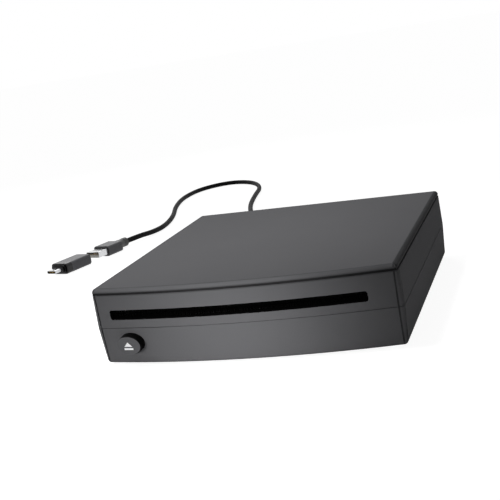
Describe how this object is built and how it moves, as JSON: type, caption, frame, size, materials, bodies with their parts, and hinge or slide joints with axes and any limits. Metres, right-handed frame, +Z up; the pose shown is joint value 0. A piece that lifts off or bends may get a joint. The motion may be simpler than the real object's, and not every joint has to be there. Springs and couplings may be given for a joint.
{
  "type": "usb external dvd player",
  "caption": "Slot-loading external disc player with an eject button, roller loader, disc drive inside, captive USB lead and pull-off plug adapter.",
  "frame": {"origin": "centre of the housing's box, without the lead, on the surface that the feet stand on", "axes": "+Y from the disc slot to the rear wall, +Z up, +X to the right seen from the front"},
  "size_m": [0.2869, 0.5383, 0.0398],
  "materials": {
    "black_plastic": "moulded, black",
    "board": "green laminate",
    "bright_steel": "plated, bright",
    "button_plastic": "smooth, dark grey",
    "copper_alloy": "gold plated",
    "cord_cover": "braided, black",
    "felt": "short black pile",
    "flex": "amber film",
    "gloss_black_plastic": "polished, black",
    "grey_aluminium": "anodised dark grey",
    "housing_plastic": "fine moulded texture, dark grey",
    "lens_glass": "clear",
    "magnet": "plated",
    "rubber": "matt black",
    "steel": "bare sheet",
    "white_mark": "flat white",
    "white_plastic": "moulded, off-white"
  },
  "bodies": {
    "housing": {"top_cover": "housing_plastic", "bottom_case": "housing_plastic", "rubber_feet": "rubber", "case_screws": "bright_steel", "dust_felts": "felt", "eject_switch": "black_plastic", "button_board": "board", "button_flex": "flex", "loader_pan": "steel", "loader_screws": "bright_steel", "loader_top_plate": "steel", "disc_guide": "black_plastic", "clamp_bridge": "steel", "slide_studs": "bright_steel", "pivot_pins": "bright_steel", "main_board": "board", "board_screws": "bright_steel", "board_chips": "black_plastic", "cord_socket": "white_plastic", "flex_sockets": "white_plastic", "loader_flex": "flex", "inner_lead": "black_plastic", "cord_gland": "rubber", "usb_cord": "cord_cover", "plug_relief": "rubber", "plug_sleeve": "grey_aluminium", "plug_core": "black_plastic", "usb_a_shell": "bright_steel", "usb_a_tongue": "white_plastic", "usb_a_contacts": "copper_alloy"},
    "eject_button_body": {"eject_button": "button_plastic", "eject_symbol": "white_mark", "switch_plunger": "white_plastic"},
    "carrier": {"roller_carrier": "steel", "loading_motor": "bright_steel", "drive_belt": "rubber"},
    "roller": {"loading_roller": "rubber", "roller_shaft": "bright_steel", "roller_pulley": "white_plastic"},
    "motor_rotor": {"motor_pulley": "copper_alloy", "motor_shaft": "bright_steel"},
    "slide": {"cam_slide": "black_plastic"},
    "traverse": {"traverse_deck": "steel", "spindle_motor": "bright_steel", "sled_rods": "bright_steel", "sled_motor": "bright_steel"},
    "platter": {"turntable": "black_plastic"},
    "sled": {"pickup_sled": "black_plastic"},
    "sled_screw": {"leadscrew": "bright_steel"},
    "lens": {"lens_holder": "black_plastic", "objective_lens": "lens_glass"},
    "clamper": {"disc_clamper": "black_plastic", "clamper_magnet": "magnet"},
    "adapter": {"adapter_sleeve": "grey_aluminium", "adapter_socket": "bright_steel", "adapter_body": "gloss_black_plastic", "socket_tongue": "white_plastic", "adapter_contacts": "copper_alloy", "usb_c_shell": "bright_steel", "usb_c_liner": "gloss_black_plastic"}
  },
  "joints": [
    {"name": "eject_button_press", "type": "slide", "parent": "housing", "child": "eject_button_body", "axis": [0.1418, 0.9843, 0.1048], "range_m": [0, 0.001], "stiffness_N_per_m": 400, "springref_m": -0.002},
    {"name": "adapter_slide", "type": "slide", "parent": "housing", "child": "adapter", "axis": [0.2588, 0.9659, 0], "range_m": [0, 0.022]},
    {"name": "cam_slide_run", "type": "slide", "parent": "housing", "child": "slide", "axis": [0, -1, 0], "range_m": [0, 0.009]},
    {"name": "roller_carrier_swing", "type": "hinge", "parent": "housing", "child": "carrier", "pos_m": [-0.06, -0.04008, 0.018], "axis": [1, 0, 0], "range_deg": [0, 9]},
    {"name": "roller_spin", "type": "hinge", "parent": "carrier", "child": "roller", "pos_m": [-0.003, -0.05808, 0.0222], "axis": [1, 0, 0], "continuous": true},
    {"name": "loading_motor_spin", "type": "hinge", "parent": "carrier", "child": "motor_rotor", "pos_m": [-0.066, -0.04008, 0.018], "axis": [1, 0, 0], "continuous": true},
    {"name": "traverse_lift", "type": "hinge", "parent": "housing", "child": "traverse", "pos_m": [-0.003, 0.05592, 0.0189], "axis": [-1, 0, 0], "range_deg": [0, 3]},
    {"name": "turntable_spin", "type": "hinge", "parent": "traverse", "child": "platter", "pos_m": [-0.003, -0.00188, 0.02298], "axis": [0, -0.0523, 0.9986], "continuous": true},
    {"name": "sled_run", "type": "slide", "parent": "traverse", "child": "sled", "axis": [1, 0, 0], "range_m": [0, 0.036]},
    {"name": "leadscrew_spin", "type": "hinge", "parent": "traverse", "child": "sled_screw", "pos_m": [0.02, 0.01884, 0.01946], "axis": [1, 0, 0], "range_deg": [0, 4320]},
    {"name": "lens_focus", "type": "slide", "parent": "sled", "child": "lens", "axis": [0, -0.0523, 0.9986], "range_m": [-0.0004, 0.0004], "stiffness_N_per_m": 30},
    {"name": "clamper_spin", "type": "hinge", "parent": "housing", "child": "clamper", "pos_m": [-0.003, -0.00158, 0.0295], "axis": [0, 0, 1], "continuous": true}
  ],
  "couplings": [
    {"joint": "roller_carrier_swing", "follows": "cam_slide_run", "rad_per_m": 17.453},
    {"joint": "traverse_lift", "follows": "cam_slide_run", "rad_per_m": 5.8178},
    {"joint": "loading_motor_spin", "follows": "roller_spin", "ratio": 1.7324},
    {"joint": "leadscrew_spin", "follows": "sled_run", "rad_per_m": 2094.4}
  ]
}
